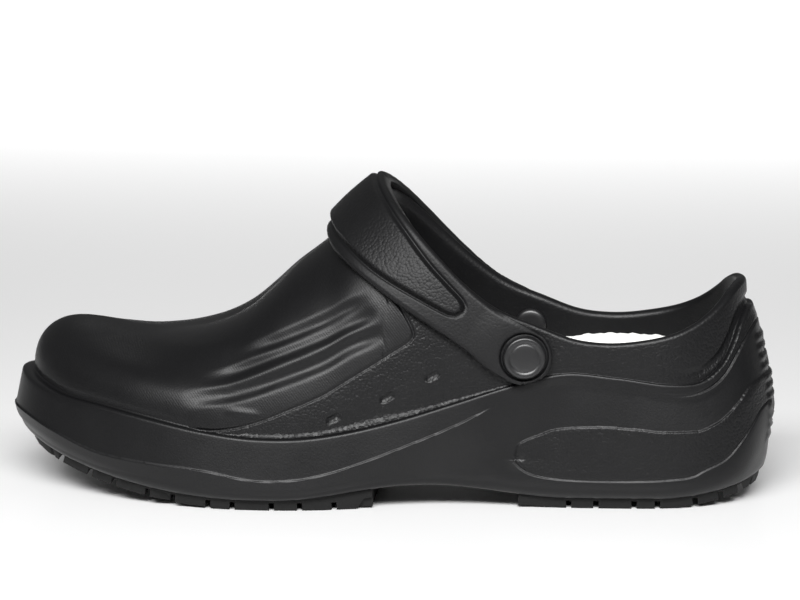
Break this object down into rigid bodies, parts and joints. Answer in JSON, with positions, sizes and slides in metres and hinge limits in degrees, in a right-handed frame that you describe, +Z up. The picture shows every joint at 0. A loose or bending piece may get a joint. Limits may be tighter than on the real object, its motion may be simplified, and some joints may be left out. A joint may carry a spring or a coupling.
{
  "type": "chef clog",
  "caption": "Closed-toe moulded foam work clog with a foxing rim, rubber tread pads, loose insole and a swivelling heel strap on press buttons",
  "frame": {"origin": "on the floor, under the middle of the clog's bounding box", "axes": "+X from toe to heel, -Y to the outer (lateral) side of the foot, +Z up"},
  "size_m": [0.2906, 0.108, 0.1205],
  "materials": {
    "foam": "satin, fine pebble grain",
    "tread_rubber": "matt",
    "insole_foam": "matt, nubbed",
    "strap_foam": "satin, fine pebble grain",
    "button_plastic": "satin"
  },
  "bodies": {
    "root": {"clog_body": "foam", "outsole_forefoot": "tread_rubber", "outsole_heel": "tread_rubber", "insole": "insole_foam", "heel_strap": "strap_foam", "button_cap_lateral": "button_plastic", "button_cap_medial": "button_plastic", "button_stud_lateral": "button_plastic", "button_stud_medial": "button_plastic"}
  },
  "joints": []
}
